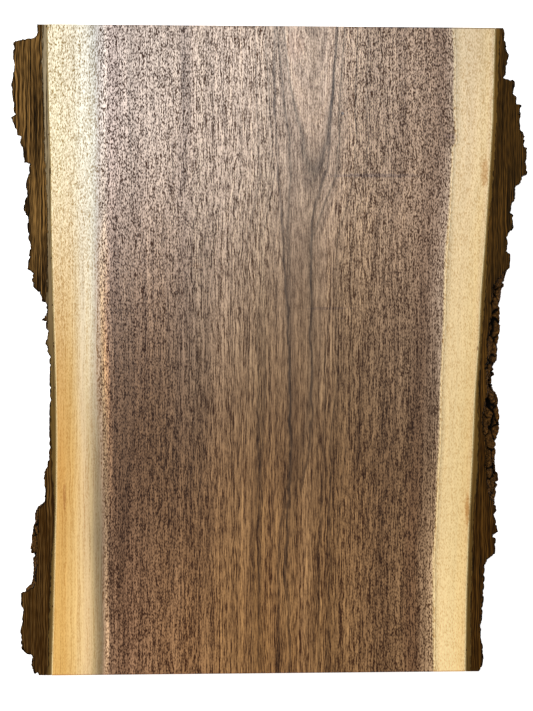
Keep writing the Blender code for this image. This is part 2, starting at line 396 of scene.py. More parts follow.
def weather(mesh, inner, planes):
    """Works out how points move, how deep in a crack they are, and how far from the rim, in mm."""
    moves, cracks, rim = {}, {}, {}
    for vertex in mesh.vertices:
        if vertex.index not in planes and vertex.index not in inner:
            crack = crack_at(vertex.co)
            cracks[vertex.index] = crack
            moves[vertex.index] = vertex.normal * -skin_depth(vertex.co, crack)
    near = kdtree.KDTree(len(moves))
    for index in moves:
        near.insert(mesh.vertices[index].co, index)
    near.balance()
    for index in planes:
        _, nearest, distance = near.find(mesh.vertices[index].co)
        rim[index] = distance / MM
        if index not in inner:
            moves[index] = moves[nearest] * max(0.0, 1.0 - distance / RIM_REACH)
    return moves, cracks, rim


# %% [markdown]
# The strips are grown here. Each keeps three values for every point, which the material reads later:
# how deep in a crack the point is, whether it is sawn, and how far it lies from the rim.

# %% Grow both strips of bark
def write_attribute(mesh, name, values):
    layer = mesh.attributes.new(name, "FLOAT", "POINT")
    full = [0.0] * len(mesh.vertices)
    for index, value in values.items():
        full[index] = value
    layer.data.foreach_set("value", full)


def grow_bark(node_name, name, side):
    piece = bpy.data.objects.new(name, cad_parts[node_name].data.copy())
    bpy.context.scene.collection.objects.link(piece)
    edit(piece)
    bpy.ops.mesh.remove_doubles(threshold=0.01 * MM)
    finish_modifier(piece, "REMESH", mode="VOXEL", voxel_size=VOXEL)
    mesh = piece.data
    inner, planes = sort_points(mesh, side)
    fit_outline(mesh, side)
    mesh.update()
    moves, cracks, rim = weather(mesh, inner, planes)
    for index, move in moves.items():
        place = mesh.vertices[index].co
        place += move
        place.x = side * max(side * place.x, side * live_edge(side, place) + THINNEST)
        place.x = min(cad_high.x, max(cad_low.x, place.x))
        place.z = min(TOP, max(0.0, place.z))
    for index in inner:
        vertex = mesh.vertices[index]
        if index not in planes or planes[index] in ("top", "bottom"):
            vertex.co.x = live_edge(side, vertex.co)
    for index, plane in planes.items():
        flatten(mesh.vertices[index].co, plane)
    write_attribute(mesh, "crack", cracks)
    write_attribute(mesh, "sawn", dict.fromkeys(planes, 1.0))
    write_attribute(mesh, "rim", rim)
    print(name, len(mesh.polygons), "faces,", len(planes), "sawn points,", len(cracks), "weathered points")
    return piece


bark_left = grow_bark("bark_left", "bark_skin_left", -1)
bark_right = grow_bark("bark_right", "bark_skin_right", 1)

# %% [markdown]
# ## Building materials
#
# The next helpers keep the node trees short to read: one adds a node and fills its sockets, and the
# others stand for the sums, spreads, mixes and ramps that every material needs.

# %% Helpers for nodes
def node(tree, kind, sockets=None, **settings):
    made = tree.nodes.new("ShaderNode" + kind)
    for key, value in settings.items():
        setattr(made, key, value)
    for key, value in (sockets or {}).items():
        if isinstance(value, bpy.types.NodeSocket):
            tree.links.new(value, made.inputs[key])
        else:
            made.inputs[key].default_value = value
    return made


def maths(tree, operation, a, b=0.0, clamp=False):
    return node(tree, "Math", {0: a, 1: b}, operation=operation, use_clamp=clamp).outputs[0]


def plus(tree, a, b):
    return maths(tree, "ADD", a, b)


def minus(tree, a, b):
    return maths(tree, "SUBTRACT", a, b)


def product(tree, a, b):
    return maths(tree, "MULTIPLY", a, b)


def spread(tree, value, start, end, low=0.0, high=1.0):
    """Takes value from the span start to end onto the span low to high, and holds it past the ends."""
    sockets = {"Value": value, "From Min": start, "From Max": end, "To Min": low, "To Max": high}
    return node(tree, "MapRange", sockets).outputs[0]


def soft_noise(tree, place, scale, detail, roughness=0.5):
    """Noise round 0.5. scale is one number per mm, or one for each axis."""
    if isinstance(scale, tuple):
        place = node(tree, "Mapping", {"Vector": place, "Scale": scale}).outputs[0]
        scale = 1.0
    sockets = {"Vector": place, "Scale": scale, "Detail": detail, "Roughness": roughness}
    return node(tree, "TexNoise", sockets).outputs["Fac"]


# %% Helpers for colours
def mix(tree, factor, a, b, how="MIX"):
    return node(tree, "Mix", {0: factor, 6: a, 7: b}, data_type="RGBA", blend_type=how).outputs[2]


def times(tree, colour, factor):
    return mix(tree, 1.0, colour, factor, "MULTIPLY")


def ramp(tree, factor, stops):
    made = node(tree, "ValToRGB", {0: factor})
    elements = made.color_ramp.elements
    elements.remove(elements[1])
    elements[0].position, elements[0].color = stops[0]
    for position, colour in stops[1:]:
        elements.new(position).color = colour
    return made.outputs[0]


def shade(red, green, blue):
    """A colour as eyes and pictures count it, 0 to 255, turned into the light that Blender counts."""
    light = []
    for part in (red / 255, green / 255, blue / 255):
        light.append(part / 12.92 if part < 0.04045 else ((part + 0.055) / 1.055) ** 2.4)
    return (*light, 1.0)


def grey(value):
    return (value, value, value, 1.0)


print("colour of clean sapwood:", [round(c, 2) for c in shade(240, 200, 135)[:3]])

# %% [markdown]
# Some things change along the slab, such as where its edge runs or how dark it is. They are tables of
# points (Y in mm, value), and a curve node carries each table into the material. A node group is a
# part of a material that is made once and used in several places.

# %% Helpers for courses, groups and materials
def course(tree, y, points, low, high):
    """A value that follows (Y, value) points along the slab, held between low and high."""
    start, end = points[0][0], points[-1][0]
    made = node(tree, "FloatCurve", {"Factor": 1.0, "Value": spread(tree, y, start, end)})
    line = made.mapping.curves[0]
    for _ in points[2:]:
        line.points.new(0.5, 0.5)
    for handle, (y_mm, value) in zip(line.points, points):
        handle.location = ((y_mm - start) / (end - start), (value - low) / (high - low))
        handle.handle_type = "VECTOR"
    made.mapping.update()
    return spread(tree, made.outputs[0], 0.0, 1.0, low, high)


def new_group(name, inputs, outputs, build):
    """Makes a node group. build(tree, given) returns the socket for each output."""
    tree = bpy.data.node_groups.new(name, "ShaderNodeTree")
    for label, kind, start in inputs:
        socket = tree.interface.new_socket(label, in_out="INPUT", socket_type="NodeSocket" + kind)
        socket.default_value = start
    for label, kind in outputs:
        tree.interface.new_socket(label, in_out="OUTPUT", socket_type="NodeSocket" + kind)
    given = tree.nodes.new("NodeGroupInput").outputs
    end = tree.nodes.new("NodeGroupOutput")
    for label, socket in build(tree, given).items():
        tree.links.new(socket, end.inputs[label])
    return tree


def new_material(name):
    made = bpy.data.materials.new(name)
    made.use_nodes = True
    made.node_tree.nodes.clear()
    return made, made.node_tree


# %% [markdown]
# ## How the tree grew
#
# Wood has its pattern inside it. Growth rings are cylinders round the pith, the dark heartwood fills
# the middle of them, and a flat saw cut shows them as stripes at its sides and as nested arches where
# the pith runs close below. One node group works this out for any point of the slab, so that the top
# face, the underside and both ends agree. The pith runs 2 mm under the underside. It dips along
# the slab, which is what draws the arches.

# %% The courses of the heartwood and its arches
HEART_WIDTH = 215.0
LEFT_HEART = ((-208, -103), (-151, -103.5), (-65, -104.5), (28, -105.5), (116, -105.8), (208, -106))
RIGHT_HEART = (
    (-208, 101.6), (-131, 101.7), (-109, 103.1), (-66, 104.8), (-30, 106), (28, 108.8), (72, 110.9),
    (118, 113.5), (127.5, 113.6), (129.5, 115.8), (150, 114.8), (181, 115.2), (208, 114.4),
)
# The middle of the arches as a share of the way across the heart, and the radius in mm of the ring
# that the saw cut there
ARCH_AXIS = (
    (-208, 0.552), (-95, 0.563), (-62, 0.578), (-19, 0.587), (69, 0.573), (110, 0.61), (145, 0.6),
    (208, 0.6),
)
ARCH_DEPTH = (
    (-208, 35.3), (-95, 35), (-62, 34.8), (-19, 34.33), (69, 34.3), (110, 32.6), (138, 31.5),
    (200, 27.8), (208, 27.5),
)
ARCH_REACH = 25.0
RING_SWAY = 1.6
PITH_MM = PITH_DEPTH / MM
TOP_MM = TOP / MM
print("the arches rise", round(ARCH_DEPTH[0][1] - ARCH_DEPTH[-1][1], 1), "mm through the rings")


# %% The growth group
def grow(tree, given):
    in_mm = node(tree, "VectorMath", {0: given["Position"], "Scale": 1 / MM}, operation="SCALE").outputs[0]
    shift = (SHIFT_X / MM, SHIFT_Y / MM, 0)
    place = node(tree, "VectorMath", {0: in_mm, 1: shift}, operation="ADD").outputs[0]
    x, y, z = node(tree, "SeparateXYZ", {0: place}).outputs
    sway = soft_noise(tree, place, (0.05, 0.012, 0.05), 1.0)
    x_wavy = plus(tree, x, spread(tree, sway, 0.2, 0.8, -RING_SWAY, RING_SWAY))
    left = course(tree, y, LEFT_HEART, -115, -95)
    right = course(tree, y, RIGHT_HEART, 95, 120)
    width = minus(tree, right, left)
    axis_share = course(tree, y, ARCH_AXIS, 0.5, 0.7)
    axis = plus(tree, left, product(tree, width, axis_share))
    off_axis = product(tree, minus(tree, x_wavy, axis), HEART_WIDTH)
    off_axis = maths(tree, "DIVIDE", off_axis, width)
    above_pith = plus(tree, z, PITH_MM - TOP_MM)
    square = plus(tree, product(tree, off_axis, off_axis), product(tree, above_pith, above_pith))
    beside = maths(tree, "SQRT", maths(tree, "MAXIMUM", minus(tree, square, PITH_MM**2), 0.0))
    beside = product(tree, beside, maths(tree, "SIGN", off_axis))
    across = plus(tree, axis_share, maths(tree, "DIVIDE", beside, HEART_WIDTH))
    fade = maths(tree, "POWER", maths(tree, "ABSOLUTE", maths(tree, "DIVIDE", beside, ARCH_REACH)), 4.0)
    fade = maths(tree, "DIVIDE", 1.0, plus(tree, fade, 1.0))
    dip = minus(tree, course(tree, y, ARCH_DEPTH, 25, 40), PITH_MM)
    ring = plus(tree, maths(tree, "SQRT", square), product(tree, dip, fade))
    flare = minus(tree, PITH_MM**2, product(tree, above_pith, above_pith))
    flare = maths(tree, "DIVIDE", flare, 2 * LOG_RADIUS / MM)
    from_left = plus(tree, minus(tree, x, course(tree, y, LEFT_EDGE, -145, -125)), flare)
    from_right = plus(tree, minus(tree, course(tree, y, RIGHT_EDGE, 115, 150), x), flare)
    return {
        "Place": place, "Along": y, "Across heart": across, "Ring": ring,
        "From left edge": from_left, "From right edge": from_right,
    }


growth = new_group(
    "tree_growth",
    [("Position", "Vector", (0, 0, 0))],
    [("Place", "Vector"), ("Along", "Float"), ("Across heart", "Float"), ("Ring", "Float"),
     ("From left edge", "Float"), ("From right edge", "Float")],
    grow,
)
print("growth group:", len(growth.nodes), "nodes")

# %% [markdown]
# ## Fibres and pores
#
# Walnut is full of fine pores that run along the trunk. Sanded open, each shows as a short dark dash,
# and the fibres between them catch the light. Noise that is squeezed across the grain and drawn out
# along it gives such strokes, light and dark, and on the sawn ends the same noise shows as dots. Three
# lengths are laid over one another. The bark uses the group too, with its own widths.

# %% The fibres group
SHORT_PORE = 1.3
LONG_PORE = 6.0
FIBRE_LINE = 60.0
FIBRE_SWAY = 0.8
FULL_STROKE = 0.24


def draw_fibres(tree, given):
    sway = soft_noise(tree, given["Place"], (0.11, 0.055, 0.11), 1.0)
    lean = node(tree, "CombineXYZ", {0: spread(tree, sway, 0.2, 0.8, -FIBRE_SWAY, FIBRE_SWAY)}).outputs[0]
    bent = node(tree, "VectorMath", {0: given["Place"], 1: lean}, operation="ADD").outputs[0]
    line = given["Line share"]
    rest = minus(tree, 1.0, line)
    strokes = 0.0
    for share, length in (
        (product(tree, rest, minus(tree, 1.0, given["Long share"])), SHORT_PORE),
        (product(tree, rest, given["Long share"]), LONG_PORE),
        (line, FIBRE_LINE),
    ):
        cell = node(tree, "CombineXYZ", {0: given["Width"], 1: length, 2: given["Width"]}).outputs[0]
        squeezed = node(tree, "VectorMath", {0: bent, 1: cell}, operation="DIVIDE").outputs[0]
        field = minus(tree, soft_noise(tree, squeezed, 1.0, 0.0), 0.5)
        strokes = plus(tree, product(tree, field, maths(tree, "SQRT", share)), strokes)
    light = spread(tree, strokes, 0.0, FULL_STROKE)
    return {"Light": light, "Dark": spread(tree, strokes, 0.0, -FULL_STROKE)}


fibres = new_group(
    "grain_fibres",
    [("Place", "Vector", (0, 0, 0)), ("Width", "Float", 0.45), ("Long share", "Float", 0.2),
     ("Line share", "Float", 0.2)],
    [("Light", "Float"), ("Dark", "Float")],
    draw_fibres,
)


def fibre_pair(tree, place, width, long_share, line_share):
    sockets = {"Place": place, "Width": width, "Long share": long_share, "Line share": line_share}
    made = node(tree, "Group", sockets, node_tree=fibres)
    return made.outputs["Light"], made.outputs["Dark"]


print("fibres group:", len(fibres.nodes), "nodes")

# %% [markdown]
# ## Marks
#
# A few marks tell one board from another: smudges across the grain, pale and dark spots, stains in
# the sapwood. Each is a soft ellipse with an edge that noise makes uneven, and lies on the top only.

# %% The mark group
MARK_DEPTH = 2.5
# X and Y of the middle, half the width and half the length in mm, strength, and the tint that it
# multiplies the wood's colour with
MARKS = (
    (66.6, 109.4, 36.0, 1.5, 1.0, (0.58, 0.48, 0.36)),
    (36.9, 26.3, 19.4, 1.1, 1.0, (0.66, 0.58, 0.48)),
    (16.3, 190.7, 6.5, 11.0, 0.6, (1.25, 1.14, 1.16)),
    (45.6, 148.2, 1.3, 1.3, 1.0, (0.25, 0.2, 0.14)),
    (-74.1, -134.4, 0.6, 0.8, 0.9, (1.5, 1.6, 1.7)),
    (134.4, 111.3, 2.6, 11.0, 1.0, (0.76, 0.62, 0.44)),
    (123.8, -100.0, 2.0, 12.5, 1.0, (0.68, 0.52, 0.34)),
    (130.0, 1.3, 0.5, 1.6, 0.9, (0.4, 0.28, 0.16)),
    (-128.2, -91.9, 1.2, 11.5, 0.8, (0.72, 0.58, 0.4)),
    (-46.0, 53.0, 5.0, 1.6, 0.8, (1.3, 1.3, 1.35)),
    (113.5, 134.0, 4.5, 1.6, 1.0, (0.62, 0.5, 0.44)),
)
MARK_SIZES = ("Middle X", "Middle Y", "Half width", "Half length")


def draw_mark(tree, given):
    x, y, z = node(tree, "SeparateXYZ", {0: given["Place"]}).outputs
    off_x = maths(tree, "DIVIDE", minus(tree, x, given["Middle X"]), given["Half width"])
    off_y = maths(tree, "DIVIDE", minus(tree, y, given["Middle Y"]), given["Half length"])
    square = plus(tree, product(tree, off_x, off_x), product(tree, off_y, off_y))
    uneven = spread(tree, soft_noise(tree, given["Place"], 0.7, 3.0), 0.3, 0.7, 0.6, 1.4)
    inside = spread(tree, minus(tree, uneven, square), 0.0, 0.8)
    on_top = spread(tree, z, TOP_MM - MARK_DEPTH, TOP_MM - MARK_DEPTH / 2)
    return {"Amount": product(tree, inside, on_top)}


mark = new_group(
    "surface_mark",
    [("Place", "Vector", (0, 0, 0)), ("Middle X", "Float", 0.0), ("Middle Y", "Float", 0.0),
     ("Half width", "Float", 1.0), ("Half length", "Float", 1.0)],
    [("Amount", "Float")],
    draw_mark,
)


def add_marks(tree, place, colour):
    for *sizes, strength, tint in MARKS:
        sockets = {"Place": place, **dict(zip(MARK_SIZES, sizes))}
        amount = product(tree, node(tree, "Group", sockets, node_tree=mark).outputs[0], strength)
        colour = mix(tree, amount, colour, times(tree, colour, (*tint, 1.0)))
    return colour


print("marks on the board:", len(MARKS))

# %% [markdown]
# Dark veins wander down the middle of the board, where the saw ran along single growth rings. Each
# is a line that follows its own points, with a soft edge, and fades out where the points end.

# %% Dark veins
# Strength, then the points that the vein follows as (Y, X), from the near end
VEINS = (
    (1, (
        (-215, 12.5), (-188, 12.5), (-163, 11.9), (-138, 9.4), (-113, 11.3), (-88, 11.9), (-63, 13.1),
        (-38, 13.1), (-13, 12.5), (12, 11.3), (37, 10.6), (62, 8.8), (87, 7.5), (112, 5), (138, 3.8),
        (163, 3.1), (215, 2.5),
    )),
    (0.95, (
        (-95, 18), (-63, 25), (-38, 26.3), (-13, 26.3), (12, 25.6), (37, 26.3), (62, 25.6), (87, 27.5),
        (112, 35.6), (138, 38.1), (163, 40), (215, 42.5),
    )),
    (0.55, (
        (-215, 30.6), (-138, 30.6), (-113, 31.3), (-88, 33.1), (-63, 33.8), (-13, 35), (12, 36.3),
        (37, 38.8), (55, 40),
    )),
    (0.65, (
        (-215, -6.9), (-138, -6.3), (-113, -6.9), (-88, -5), (-63, -6.9), (30, -7.5),
    )),
    (0.8, (
        (-215, 6.3), (-163, 5.6), (-138, 5.6), (-113, 6.9), (-80, 10.5),
    )),
    (0.55, (
        (-215, 36), (-163, 36.9), (-138, 38.1), (-113, 37.5), (-55, 38.8),
    )),
)
VEIN_TINT = (0.33, 0.29, 0.25, 1.0)
VEIN_SWAY = 1.2
VEIN_HALF_WIDTH = 1.25
VEIN_CORE = 0.35
VEIN_FADE = 15


def add_veins(tree, place, colour):
    x, y, z = node(tree, "SeparateXYZ", {0: place}).outputs
    slow = soft_noise(tree, place, (0.15, 0.06, 0.15), 3.0)
    swaying = plus(tree, x, spread(tree, slow, 0.25, 0.75, -VEIN_SWAY, VEIN_SWAY))
    on_top = spread(tree, z, TOP_MM - MARK_DEPTH, TOP_MM)
    shown = product(tree, on_top, spread(tree, slow, 0.2, 0.6, 0.5, 1.0))
    for strength, points in VEINS:
        start, end = points[0][0], points[-1][0]
        off = maths(tree, "ABSOLUTE", minus(tree, swaying, course(tree, y, points, -20, 50)))
        amount = spread(tree, off, VEIN_HALF_WIDTH, VEIN_CORE)
        amount = product(tree, amount, product(tree, shown, strength))
        amount = product(tree, amount, spread(tree, y, start, start + VEIN_FADE))
        amount = product(tree, amount, spread(tree, y, end, end - VEIN_FADE))
        colour = mix(tree, amount, colour, times(tree, colour, VEIN_TINT))
    return colour


print("veins:", len(VEINS))

# %% [markdown]
# ## Walnut
#
# The colour is laid down as the tree laid it down: purple-brown heartwood that is darkest near its
# border, a grey zone where it meets the cream sapwood, and gold next to the bark. Rings and long
# streaks vary it, and pores are drawn over it. The sheen of the hand-rubbed surface is a thin coat
# that the pores interrupt.

# %% Tones of the heartwood
# Across the heart, at the far and the near end of the slab: share of the way across, tone, then green
# and blue as shares of red
HEART_RED = 0.20
FAR_TONES = (
    (0, 1.45, 0.66, 0.42), (0.01, 1.7, 0.64, 0.4), (0.024, 0.9, 0.48, 0.26), (0.045, 0.84, 0.47, 0.24),
    (0.065, 1.05, 0.51, 0.25), (0.085, 0.82, 0.49, 0.21), (0.115, 0.86, 0.48, 0.2), (0.16, 1, 0.5, 0.2),
    (0.19, 1.05, 0.49, 0.19), (0.212, 0.9, 0.48, 0.17), (0.228, 0.66, 0.45, 0.16),
    (0.246, 0.64, 0.45, 0.16), (0.262, 0.9, 0.47, 0.16), (0.28, 1.08, 0.5, 0.17),
    (0.302, 0.85, 0.47, 0.15), (0.322, 0.97, 0.48, 0.16), (0.345, 1.18, 0.5, 0.19),
    (0.44, 1.15, 0.5, 0.17), (0.466, 1.1, 0.49, 0.15), (0.478, 0.86, 0.48, 0.14),
    (0.56, 1.08, 0.49, 0.16), (0.605, 0.86, 0.47, 0.12), (0.64, 1.05, 0.5, 0.18),
    (0.7, 1.08, 0.48, 0.14), (0.74, 1, 0.48, 0.14), (0.785, 0.86, 0.47, 0.14),
    (0.815, 0.98, 0.49, 0.17), (0.85, 0.82, 0.47, 0.16), (0.915, 0.96, 0.5, 0.2),
    (0.945, 0.76, 0.48, 0.19), (0.978, 0.7, 0.48, 0.2), (0.994, 1.05, 0.58, 0.3),
)
NEAR_TONES = (
    (0, 1.65, 0.57, 0.3), (0.007, 1.75, 0.56, 0.28), (0.013, 1, 0.48, 0.22), (0.035, 0.88, 0.45, 0.19),
    (0.06, 0.76, 0.43, 0.17), (0.085, 0.95, 0.44, 0.18), (0.15, 1.02, 0.44, 0.16),
    (0.19, 1.02, 0.44, 0.15), (0.22, 1.12, 0.46, 0.17), (0.245, 1.12, 0.46, 0.16),
    (0.265, 0.9, 0.45, 0.15), (0.325, 0.95, 0.46, 0.15), (0.343, 1.2, 0.47, 0.15),
    (0.39, 1.1, 0.47, 0.14), (0.405, 1, 0.46, 0.13), (0.424, 1.28, 0.47, 0.14),
    (0.445, 1.02, 0.46, 0.13), (0.466, 0.8, 0.44, 0.1), (0.48, 1.08, 0.46, 0.12),
    (0.505, 0.98, 0.45, 0.12), (0.58, 1.1, 0.46, 0.13), (0.605, 1.28, 0.49, 0.17),
    (0.64, 0.96, 0.47, 0.14), (0.662, 1.12, 0.47, 0.14), (0.69, 0.87, 0.46, 0.13),
    (0.745, 1.08, 0.48, 0.16), (0.8, 0.9, 0.48, 0.17), (0.845, 0.8, 0.48, 0.18), (0.9, 0.93, 0.5, 0.2),
    (0.925, 0.65, 0.45, 0.17), (0.95, 0.73, 0.47, 0.19), (0.993, 1.7, 0.6, 0.33),
)
print("tones across the heart:", len(FAR_TONES), "and", len(NEAR_TONES))

# %% [markdown]
# The wood also grows paler, darker, redder or greener along the slab. Each of the next tables gives (Y in
# mm, value) for one stretch of the width. Depths and shades multiply the colour, and hues and golds are
# shares between two tints. The sapwood's darkening toward the far end is painted shade, which offsets the
# softbox's sheen there.

# %% How the colour changes along the slab
HEART_DEPTH = (
    (-208, 1.2), (-175, 1.13), (-125, 0.98), (-75, 0.845), (-25, 0.86), (25, 0.96), (75, 1.06),
    (125, 1.05), (175, 1.09), (208, 1.1),
)
LEFT_SHADE = (
    (-208, 0.98), (-175, 0.97), (-119, 0.81), (-62, 0.7), (-12, 0.72), (37, 0.84), (87, 1.05),
    (137, 1.14), (208, 0.95),
)
RIGHT_SHADE = (
    (-208, 0.9), (-175, 0.9), (-119, 0.98), (-62, 0.92), (-12, 1), (37, 1.08), (87, 1.17), (137, 0.94),
    (187, 0.98), (208, 0.98),
)
BORDER_SHADE = (
    (-208, 1.45), (-175, 1.4), (-119, 0.92), (-62, 0.92), (-12, 1.1), (37, 1.22), (87, 0.9),
    (137, 0.92), (208, 0.62),
)
LINE_SHADE = (
    (-208, 0.92), (-175, 0.92), (-119, 0.8), (-62, 1.35), (-12, 2.25), (37, 1.65), (87, 0.95),
    (137, 1.1), (208, 1.05),
)
HUE_SHIFT = ((-208, 0), (-75, 0), (-12, 0.8), (37, 1), (87, 1), (137, 0.4), (187, 0.5), (208, 0.4))
LEFT_HUE = ((-208, 0.9), (-119, 0.7), (-62, 0.25), (-12, 0.05), (37, 0), (87, 0.5), (137, 1), (208, 1))
# Sapwood tone along the slab. Its darkening toward the far end is painted shade, which offsets the
# softbox's sheen there.
SAP_DEPTH_AND_SHADE = (
    (-208, 1.12), (-160, 1.08), (-115, 0.97), (-60, 0.91), (110, 0.91), (140, 0.89), (187, 0.76),
    (208, 0.74),
)
# Sapwood beside the heart. Its drop toward the far end is painted shade, which offsets the sheen there.
SAP_SHADE = (
    (-208, 0.8), (-175, 0.78), (-119, 0.72), (-62, 1.08), (-12, 1.55), (37, 1.38), (87, 0.98),
    (137, 0.97), (187, 0.71), (208, 0.69),
)
MIDDLE_GOLD = (
    (-208, 0), (-175, 0), (-119, 0.2), (-62, 0.8), (-12, 1), (37, 0.75), (87, 0.3), (137, 0.05),
    (208, 0.1),
)
print("tone of the heart at its two ends:", HEART_DEPTH[0][1], "and", HEART_DEPTH[-1][1])

# %% [markdown]
# Sapwood is listed by distance. On the left, where its colour follows the heart's wavering border, the
# distance is in mm out from the heart. On the right, where it follows the bark, it is in mm in from
# the bark. Red, green and blue come after it.

# %% Colours of the sapwood
LEFT_SAP_FAR = (
    (0, 0.36, 0.27, 0.2), (2, 0.44, 0.37, 0.28), (4, 0.57, 0.53, 0.4), (6, 0.66, 0.61, 0.44),
    (8, 0.7, 0.64, 0.45), (12, 0.67, 0.6, 0.4), (15, 0.62, 0.53, 0.3), (20, 0.62, 0.5, 0.24),
    (26, 0.66, 0.55, 0.26), (34, 0.64, 0.49, 0.18),
)
LEFT_SAP_NEAR = (
    (0, 0.42, 0.26, 0.15), (2, 0.34, 0.23, 0.12), (4, 0.38, 0.27, 0.13), (6, 0.5, 0.35, 0.17),
    (8, 0.65, 0.46, 0.21), (10, 0.78, 0.54, 0.26), (12, 0.87, 0.6, 0.29), (15, 0.9, 0.62, 0.28),
    (20, 0.87, 0.56, 0.2), (26, 0.8, 0.46, 0.12), (34, 0.8, 0.46, 0.12),
)
RIGHT_SAP_FAR = (
    (0, 0.58, 0.42, 0.22), (1.5, 0.83, 0.61, 0.32), (4, 0.87, 0.64, 0.31), (8, 0.86, 0.64, 0.33),
    (12, 0.85, 0.63, 0.34), (26, 0.8, 0.61, 0.34),
)
RIGHT_SAP_NEAR = (
    (0, 0.6, 0.41, 0.17), (1.5, 0.95, 0.66, 0.29), (4, 0.95, 0.67, 0.29), (8, 0.97, 0.71, 0.33),
    (12, 0.99, 0.73, 0.35), (26, 0.97, 0.71, 0.36),
)
GOLD_TINT = (0.95, 0.81, 0.46, 1.0)
CREAM_LINE = (0.95, 0.78, 0.42, 1.0)
# The border of the right sapwood, as share of the first 4 mm out from the heart and shade there
RIGHT_BORDER_MM = 4
RIGHT_BORDER = ((0.0, 1.08), (0.16, 1.08), (0.32, 0.64), (0.48, 0.84), (1.0, 1.0))
print("left sapwood is listed out to", LEFT_SAP_FAR[-1][0], "mm")


# %% [markdown]
# These tables could be painted as a picture, but a picture lies on one face only. Ramps and curves
# inside the material colour the whole thickness. Two ramps give the tones across the heart, one for
# each end of the slab, and the material blends from one to the other along it.

# %% Heartwood by place
def ring_tones(tree, across, tones):
    stops = []
    for share, tone, green, blue in tones:
        red = HEART_RED * tone
        stops.append((share, (red, red * green, red * blue, 1.0)))
    return ramp(tree, across, stops)


def heart_colour(tree, across, y_mm):
    far = ring_tones(tree, across, FAR_TONES)
    near = ring_tones(tree, across, NEAR_TONES)
    tones = mix(tree, spread(tree, y_mm, -140, 170), near, far)
    at_left = product(tree, spread(tree, across, 0.36, 0.22), spread(tree, across, 0.012, 0.03))
    at_border = spread(tree, across, 0.020, 0.008)
    at_line = product(tree, spread(tree, across, 0.008, 0.014), spread(tree, across, 0.030, 0.022))
    at_right = spread(tree, across, 0.60, 0.64)
    shaded = mix(tree, at_left, grey(1.0), course(tree, y_mm, LEFT_SHADE, 0.5, 1.5))
    shaded = mix(tree, at_border, shaded, course(tree, y_mm, BORDER_SHADE, 0.5, 2.0))
    shaded = mix(tree, at_line, shaded, course(tree, y_mm, LINE_SHADE, 0.5, 2.5))
    shaded = mix(tree, at_right, shaded, course(tree, y_mm, RIGHT_SHADE, 0.5, 1.5))
    return times(tree, times(tree, tones, shaded), course(tree, y_mm, HEART_DEPTH, 0.5, 1.5))


# %% [markdown]
# Each side's sapwood is blended from its two lists in the same way. The left one turns gold toward
# its bark, the right one has a fine dark border on the heart, and a cream line runs next to the bark.

# %% Sapwood by place
def by_distance(tree, distance, colours):
    """A colour that changes with a distance in mm. colours lists (distance, red, green, blue)."""
    end = colours[-1][0]
    stops = [(at / end, (red, green, blue, 1.0)) for at, red, green, blue in colours]
    return ramp(tree, spread(tree, distance, 0, end), stops)


def left_sapwood(tree, far, to_heart, y_mm):
    near = by_distance(tree, to_heart, LEFT_SAP_NEAR)
    sap = mix(tree, far, near, by_distance(tree, to_heart, LEFT_SAP_FAR))
    by_heart = spread(tree, to_heart, 11, 6)
    sap = times(tree, sap, mix(tree, by_heart, grey(1.0), course(tree, y_mm, SAP_SHADE, 0.5, 1.6)))
    gold = product(tree, spread(tree, to_heart, 12, 19), course(tree, y_mm, MIDDLE_GOLD, 0.0, 1.0))
    return times(tree, sap, mix(tree, gold, grey(1.0), GOLD_TINT))


def right_sapwood(tree, far, from_right, across):
    near = by_distance(tree, from_right, RIGHT_SAP_NEAR)
    sap = mix(tree, far, near, by_distance(tree, from_right, RIGHT_SAP_FAR))
    past_heart = product(tree, minus(tree, across, 1.0), HEART_WIDTH)
    border = [(share, grey(tone)) for share, tone in RIGHT_BORDER]
    return times(tree, sap, ramp(tree, spread(tree, past_heart, 0, RIGHT_BORDER_MM), border))


def sapwood_colour(tree, grown):
    across, y_mm = grown["Across heart"], grown["Along"]
    far = spread(tree, y_mm, -75, 130)
    left = left_sapwood(tree, far, product(tree, across, -HEART_WIDTH), y_mm)
    right = right_sapwood(tree, far, grown["From right edge"], across)
    sap = mix(tree, maths(tree, "GREATER_THAN", across, 0.5), left, right)
    to_bark = maths(tree, "MINIMUM", grown["From left edge"], grown["From right edge"])
    sap = mix(tree, spread(tree, to_bark, 1.0, 0.5, 0.0, 0.6), sap, CREAM_LINE)
    return times(tree, sap, course(tree, y_mm, SAP_DEPTH_AND_SHADE, 0.5, 1.5))


# %% [markdown]
# The material itself starts here. The growth group tells where in the tree a point lies. From that
# come the colour of heartwood, the colour of sapwood and the mask that chooses between them.

# %% Walnut: heartwood and sapwood
walnut, tree = new_material("sanded_walnut")
position = node(tree, "TexCoord").outputs["Object"]
grown = node(tree, "Group", {"Position": position}, node_tree=growth).outputs
place, across, ring, y_mm = grown["Place"], grown["Across heart"], grown["Ring"], grown["Along"]
x_mm = node(tree, "SeparateXYZ", {0: place}).outputs[0]
heart = heart_colour(tree, across, y_mm)
sap = sapwood_colour(tree, grown)
in_left = spread(tree, across, -0.010, 0.004)
in_right = spread(tree, across, 1.003, 0.996)
heart_mask = product(tree, in_left, in_right)
print("heartwood and sapwood:", len(tree.nodes), "nodes")

# %% [markdown]
# The grain differs from place to place. In the middle of the heart, where the saw ran along the rings,
# pores show long. Toward the sides, and toward the far end, they show short.

